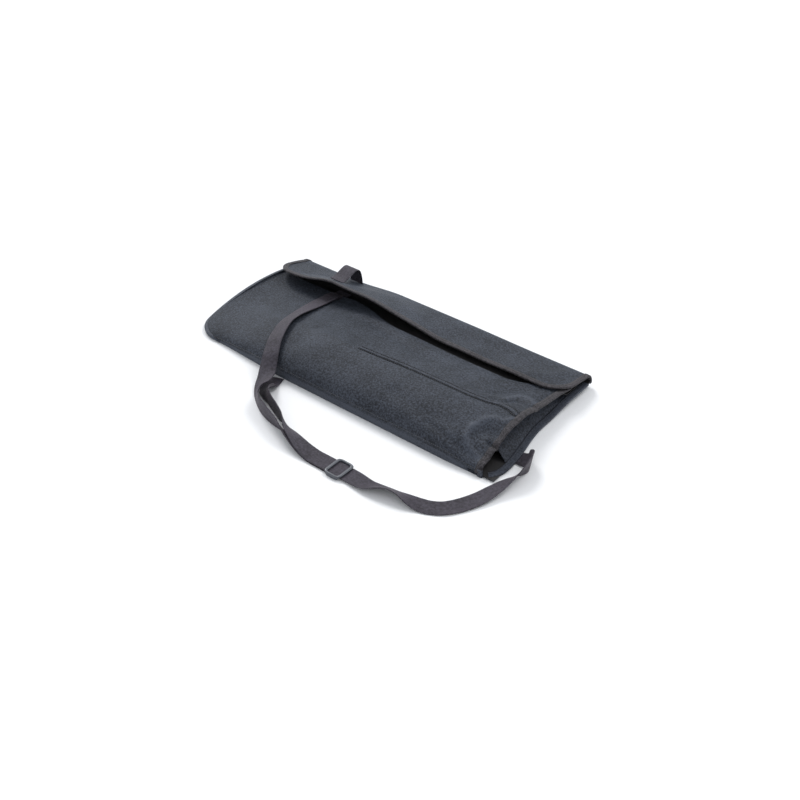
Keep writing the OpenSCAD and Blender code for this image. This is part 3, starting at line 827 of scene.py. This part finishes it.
# Painted highlight along the top of the fold; a little paler along the creases.
flap_highlight_and_tone = np.zeros(fx.shape)
for path, half, height in flap_creases:
    bump = np.exp(-(from_line(fx, flap_grid[..., 1], path) / half) ** 2) * ramp(fv, 0.3, 0.4)
    flap_grid[..., 2] += height * bump
    flap_highlight_and_tone += 0.12 * bump
flap_cloth = cloth_piece("flap_cloth", flap_grid, turn=True,
                         painted_light_and_tone=flap_highlight_and_tone + 0.5 * np.exp(-((fv - 0.26) / 0.07) ** 2))
fitted(flap_cloth, (nylon, lining), node="flap")

short_v = np.linspace(0.0, 0.98, 40)
flap_edge = np.concatenate([flap_point(flap_x0, short_v), flap_point(flap_xs, 1),
                            flap_point(flap_x1, short_v[::-1])])
inside_v = np.clip(short_v, 0.01, 0.97)
inside_x = np.clip(flap_xs, flap_x0 + 1, flap_x1 - 1)
flap_out = -np.concatenate([face_normal(flap_point, flap_x0 + 1, inside_v),
                            face_normal(flap_point, inside_x, 0.97),
                            face_normal(flap_point, flap_x1 - 1, inside_v[::-1])])
flap_tape, flap_row = bound("flap_tape", flap_edge, flap_out, "flap_binding", lap=7.0, body=None)
flap_stitches = sewn("flap_stitches", [flap_row])
for piece in (flap_cloth, flap_tape, flap_stitches):
    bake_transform(piece)

# ---- Hook and loop strips ----
# A strip of hooks under the flap meets a strip of pile inside the mouth. Both are woven tapes
# with stiff hooks, or soft loops, standing on them, and are sewn down all round.
tufts = Tree("tufts", Geometry="Geometry", Height="Float", Radius="Float", Lean="Float",
             Pile="Material")
given = tufts.given
tuft = tufts.add("GeometryNodeMeshCone", Vertices=5, Radius_Bottom=given["Radius"],
                 Depth=given["Height"])
lean = tufts.add("FunctionNodeRandomValue", {"data_type": "FLOAT_VECTOR"}, Seed=7)
spread = tufts.add("ShaderNodeVectorMath", {"operation": "SCALE"}, Vector=lean,
                   Scale=given["Lean"])
row = tufts.add("GeometryNodeInstanceOnPoints", Points=given["Geometry"], Instance=tuft,
                Rotation=spread)
tufts.end_with(row, given["Pile"])
nap, shade, plug = finish_of("fastener_pile", Roughness=0.7, Sheen_Weight=0.5)
plug(Base_Color=shade.noise(700.0).between((0.008, 0.008, 0.009), (0.035, 0.035, 0.038)))


def fastener(name, grid, body, node, height, radius, lean):
    """A strip of tape with tufts standing on its face side."""
    strip = cloth_piece(name, grid, thick=0.8)
    fitted(strip, (nap, nap), body, node)
    seats = (grid + grid_normals(grid) * height * 0.3)[1:-1, 1:-1].reshape(-1, 3)
    pile = baked(name + "_pile", plain_mesh(name + "_seats", seats, []), tufts,
                 {"Height": height * MM, "Radius": radius * MM, "Lean": lean, "Pile": nap})
    fitted(pile, (), body)
    edge = np.concatenate([grid[1, 1:-1], grid[1:-1, -2], grid[-2, -2:0:-1], grid[-2:0:-1, 1]])
    sewn(name + "_stitches", [edge + np.array([0, 0, 0.25])], body,
         pitch=2.6, length=2.0, radius=0.28)


strip_x = np.linspace(90, 150, 44)
hook_x, hook_v = np.meshgrid(strip_x, np.linspace(0.70, 0.93, 15), indexing="ij")
hook_drop = cloth_t + 0.95
fastener("flap_hook_strip_tape", flap_point(hook_x, hook_v) - np.array([0, 0, hook_drop]), "flap",
         "flap_hook_strip", height=0.9, radius=0.28, lean=0.0)
pile_x, pile_y = np.meshgrid(strip_x, np.linspace(53.5, 73.5, 15), indexing="ij")
pile_grid = on_panel(pile_x, pile_y, lift=0.95)
pile_grid[..., 2] -= facing_drop(pile_x, pile_y)
fastener("front_loop_strip_tape", pile_grid, "bag", "front_loop_strip", height=0.7, radius=0.45,
         lean=0.9)

# ---- Webbing ----
# Ribbed polypropylene webbing, 25 mm wide. The band over the front panel, the shoulder strap, the
# patches at their ends and the loop on the flap are lengths of it. Its selvedges are rounded.
web_w, web_t = 25, 1.3
webbing, shade, plug = finish_of("ribbed_webbing", Specular_IOR_Level=0.22, Sheen_Weight=0.08,
                                 Sheen_Roughness=0.45, Sheen_Tint=(1.0, 0.9, 0.95, 1))
uv = shade.node("ShaderNodeUVMap", {"uv_map": "cloth"})
pick_pitch, cord_pitch = 0.0021, 0.0016
along = shade.node("ShaderNodeSeparateXYZ", {}, {"Vector": uv}, out=0) * (math.tau / pick_pitch)
across = shade.node("ShaderNodeSeparateXYZ", {}, {"Vector": uv}, out=1) * (math.tau / cord_pitch)
plait = (along.sin() * across.sin()) * 0.5 + 0.5
rib = (across * 0.5).sin().abs()
mottle = shade.noise(300.0, 3.0)
tone = (plait * 0.35 + mottle * 1.6 + shade.noise(18.0) * 0.6 - 0.85).clamp()
plug(Base_Color=tone.between((0.016, 0.0135, 0.018), (0.078, 0.070, 0.090)),
     Roughness=mottle * 0.2 + 0.5, Normal=(plait + rib * 0.6).bump(0.6, 0.0003))

half_w, half_t, selvedge = web_w / 2, web_t / 2, 0.5
flat_u = np.linspace(half_w - selvedge, -half_w + selvedge, 11)
web_profile = np.array([(u, half_t) for u in flat_u]
                       + [(-half_w, half_t * 0.5), (-half_w, -half_t * 0.5)]
                       + [(-u, -half_t) for u in flat_u]
                       + [(half_w, -half_t * 0.5), (half_w, half_t * 0.5)])


def smooth_through(stops, per=8):
    """Catmull-Rom curve through a list of stops of any width."""
    p = np.asarray(stops, float)
    p = np.concatenate([2 * p[:1] - p[1:2], p, 2 * p[-1:] - p[-2:-1]])
    t = np.linspace(0, 1, per, endpoint=False)[:, None]
    runs = [0.5 * (2 * b + (c - a) * t + (2 * a - 5 * b + 4 * c - d) * t ** 2
                   + (3 * b - a - 3 * c + d) * t ** 3)
            for a, b, c, d in zip(p, p[1:], p[2:], p[3:])]
    return np.concatenate(runs + [p[-2:-1]])


def ribbon(name, stops, node, body=None, cup=0.6, resting=True):
    """Webbing along stops of x, y, height of its middle and twist in degrees. The twist raises
    the edge on the left of the way it runs, and cup bows the webbing across its width."""
    route = smooth_through(stops)
    twist = np.radians(route[:, 3])
    if resting:
        held = half_w * np.abs(np.sin(twist)) + half_t * np.abs(np.cos(twist)) + 0.1
        route[:, 2] = np.maximum(route[:, 2], held)
    centre = route[:, :3]
    way = unit(np.gradient(centre, axis=0))
    flat = unit(np.stack([-way[:, 1], way[:, 0], 0 * way[:, 0]], -1))
    side = np.cos(twist)[:, None] * flat + np.sin(twist)[:, None] * np.cross(way, flat)
    normal = np.cross(way, side)
    bow = np.array([(u, v + cup * (1 - (u / half_w) ** 2) - cup * 0.5) for u, v in web_profile])
    piece = swept(name, centre, side, normal, bow)
    fitted(piece, (webbing,), body, node)
    return piece


def grounded(stops):
    """Stops that give the lift of the lower edge become stops that give the middle's height."""
    return [(x, y, lift + half_w * abs(math.sin(math.radians(twist)))
             + half_t * abs(math.cos(math.radians(twist))), twist) for x, y, lift, twist in stops]


# ---- Cinch band ----
# Webbing that comes from under the flap, lies over the front panel with its right edge proud of
# the cloth, drops off the near shoulder, turns over and ends round the slider's middle bar.
band_xy = [(-149, 60), (-148, 40), (-147, 20), (-144, 0), (-140, -20), (-134, -42), (-128, -64),
           (-120, -84), (-112, -101), (-105, -114)]
band_cant = 14


def band_stop(x, y):
    """A stop of the band on the front panel, canted along its slope."""
    surface = [front_point(x + dx, front_s(x + dx, np.float64(y)))[2] for dx in (-5, 0, 5)]
    cant = band_cant * (0.1 + 0.9 * ramp(-y, -30, 60))
    lift = half_t + 1.5 + half_w * math.sin(math.radians(cant)) + 1.4 * ramp(-y, 70, 112)
    slope = math.degrees(math.atan((surface[2] - surface[0]) / 10))
    return x, y, surface[1] + lift, cant + slope


band_lead = [(-99, -124, 25.2, 18), (-94.5, -132, 20, 14), (-90, -140.5, 14.4, 10),
             (-84, -151, 9.4, 14), (-77, -166, 4.4, 32), (-67, -183, 0.8, 66), (-52, -198, 0.2, 88),
             (-34, -207, 0.2, 90), (-14, -213.5, 0.2, 95), (6, -218.5, 0.2, 108),
             (24, -222.5, 0.2, 134), (40, -225.5, 0.2, 150), (58, -228, 0.15, 166),
             (76, -229, 0.1, 178), (90, -229, 0.1, 180), (104, -229, 0.1, 180),
             (116, -229, 0.1, 180)]
band = ribbon("cinch_band", [band_stop(x, y) for x, y in band_xy] + grounded(band_lead),
              "cinch_strap", cup=0.3)
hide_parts("strap_bar_loop")
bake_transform(band)

# ---- Shoulder strap ----
# Webbing that comes from under the near seam, lies behind the band and then on it, runs through
# the slider, turns over and comes round to the back panel's right end.
strap_lead = [(-83, -133.5, 0.1, 0), (-78, -146, 0.2, 4), (-71, -160, 0.6, 14),
              (-62, -171, 0.4, 48), (-51, -181, 0.3, 82), (-35, -190, 0.3, 90),
              (-15, -199, 0.3, 92), (5, -207.5, 0.8, 104), (22, -215.5, 2, 134),
              (38, -221.5, 3.2, 150), (56, -226.5, 3, 166), (76, -229, 2.4, 178),
              (92, -229, 2.4, 180), (112, -229, 2.5, 180), (121, -229, 2.6, 180),
              (130, -229, 2.5, 180), (146, -229, 2.4, 180)]
strap_run = [(156, -229.5, 1.8, 177), (168, -229.5, 0.7, 168), (180, -227, 0.3, 154),
             (196, -223, 0.3, 142), (210, -221, 0.3, 144), (224, -219, 0.3, 162),
             (238, -216, 0.3, 176), (252, -211, 0.2, 180), (266, -201, 0.2, 178),
             (278, -184, 0.2, 178), (288, -162, 0.2, 173), (294, -140, 0.2, 164),
             (299, -120, 0.3, 148), (304, -103, 0.3, 126), (307, -88, 0.3, 102),
             (305, -76, 0.3, 98), (298, -68, 0.4, 126), (291, -66, 0.4, 158),
             (285, -65, 0.3, 176), (279, -65, 0.2, 180)]
strap = ribbon("shoulder_strap_webbing", grounded(strap_lead + strap_run), "shoulder_strap", "bag")

# ---- Strap patches ----
# Two short flat lengths of webbing: the strap's end, sewn under the back panel, and the patch
# that holds the band's other end, from the facing up over the mouth's edge under the flap.
ribbon("strap_end_patch_webbing", [(x, -65, 0.75, 0) for x in (278, 270, 262)], "strap_end_patch",
       "bag", cup=0)
patch_x, patch_lift = -150.0, 2.6
patch_route = [(patch_x, y, float(on_panel(patch_x, np.float64(y))[2] - facing_drop(patch_x, y))
                + patch_lift, 0) for y in range(90, 53, -6)]
ribbon("band_patch_webbing", patch_route, "band_patch", "bag", cup=0, resting=False)

# ---- Flap loop ----
# A short length of webbing with both its ends sewn down on the flap. Its middle stands up and
# leans back over the fold.
front_foot, back_foot = 0.78, 0.30
loop_x, foot_lift, loop_rise, loop_lean = -163, 0.75, 20.6, 0.35
loop_v = np.linspace(front_foot, back_foot, 44)
part = (front_foot - loop_v) / (front_foot - back_foot)
loop_lift = foot_lift + loop_rise * np.sin(math.pi * part ** 1.6)
loop_centre = flap_point(loop_x + half_w, loop_v)
loop_centre[:, 1] += loop_lean * loop_lift
loop_centre[:, 2] += loop_lift + 0.3
loop_side = (-1.0, 0.0, 0.0)
loop_way = unit(np.gradient(loop_centre, axis=0))
flap_loop = swept("flap_webbing_loop_webbing", loop_centre, loop_side,
                  np.cross(loop_way, loop_side), web_profile)
fitted(flap_loop, (webbing,), "flap", "flap_webbing_loop")

# ---- Slider ----
# A moulded three-bar slider of grey plastic: two end bars over the strap, side rails down to the
# table, and a middle bar underneath that the band's end goes round.
moulded, shade, plug = finish_of("moulded_plastic", Specular_IOR_Level=0.5)
scuff = shade.noise(180.0, 4.0)
# Painted highlight: sharp edges much paler than the grey plastic, over a random scuff mottle.
pointed = shade.node("ShaderNodeNewGeometry", out=7)
edge_highlight_and_scuff = ((pointed - 0.5) * 6.0 + scuff * 0.35).clamp()
plug(Base_Color=edge_highlight_and_scuff.between((0.060, 0.066, 0.080), (0.40, 0.44, 0.50)),
     Roughness=scuff * 0.3 + 0.22, Normal=shade.noise(1400.0).bump(0.2, 0.00005))
slider_x, slider_y = 121, -229
slider_l, slider_w = 27, 32
bar_w, rail_w, round_r = 4.4, 2.8, 5.0
low, bar_low, top = 0.15, 4.3, 6.2  # the rails' feet, the bars' undersides and their tops


def rounded(half_a, half_b, r, per=6):
    """Points of a rectangle with round corners, anticlockwise from its +a, -b corner."""
    out = []
    for corner, (sa, sb) in enumerate(((1, -1), (1, 1), (-1, 1), (-1, -1))):
        for a in np.radians(np.linspace(-90, 0, per) + 90 * corner):
            out.append((sa * (half_a - r) + r * math.cos(a), sb * (half_b - r) + r * math.sin(a)))
    return out


middle = rounded((slider_l - bar_w) / 2, (slider_w - rail_w) / 2, round_r)
ring = []
for (ax, ay), (bx, by) in zip(middle, middle[1:] + middle[:1]):
    cuts = max(1, round(math.hypot(bx - ax, by - ay) / 1.5))
    ring += [(ax + (bx - ax) * i / cuts, ay + (by - ay) * i / cuts) for i in range(cuts)]
ring = np.array(ring)
way = unit(np.roll(ring, -1, 0) - np.roll(ring, 1, 0))
outwards = np.stack([way[:, 1], -way[:, 0], 0 * way[:, 0]], -1)
is_rail = ramp(np.abs(ring[:, 1]), slider_w / 2 - 3.4, slider_w / 2 - 1.8)
half_thick = (bar_w + (rail_w - bar_w) * is_rail) / 2
bottom = bar_low + (low - bar_low) * is_rail
bevel, mid_bevel = 0.7, 0.25
sections = [[(h, z + bevel), (h, top - bevel), (h - mid_bevel, top - mid_bevel), (h - bevel, top),
             (-h + bevel, top), (-h + mid_bevel, top - mid_bevel), (-h, top - bevel),
             (-h, z + bevel), (-h + bevel, z), (h - bevel, z)]
            for h, z in zip(half_thick, bottom)]
frame_ring = swept("slider_frame", np.column_stack([ring + (slider_x, slider_y), 0 * ring[:, 0]]),
                   outwards, (0.0, 0.0, 1.0), sections, closed=True)
fitted(frame_ring, (moulded,), "slider", "slider")
bar_z, bar_t = 1.75, 0.9
bar_y = np.linspace(slider_y - slider_w / 2 + 1.2, slider_y + slider_w / 2 - 1.2, 12)
bar_section = [(bar_w / 2 * math.cos(a), bar_t / 2 * math.sin(a))
               for a in np.linspace(0, math.tau, 12, endpoint=False)]
bar_centre = np.stack([np.full_like(bar_y, slider_x), bar_y, np.full_like(bar_y, bar_z)], -1)
mid_bar = swept("slider_middle_bar", bar_centre, (-1.0, 0.0, 0.0), (0.0, 0.0, 1.0), bar_section)
fitted(mid_bar, (moulded,), "slider")
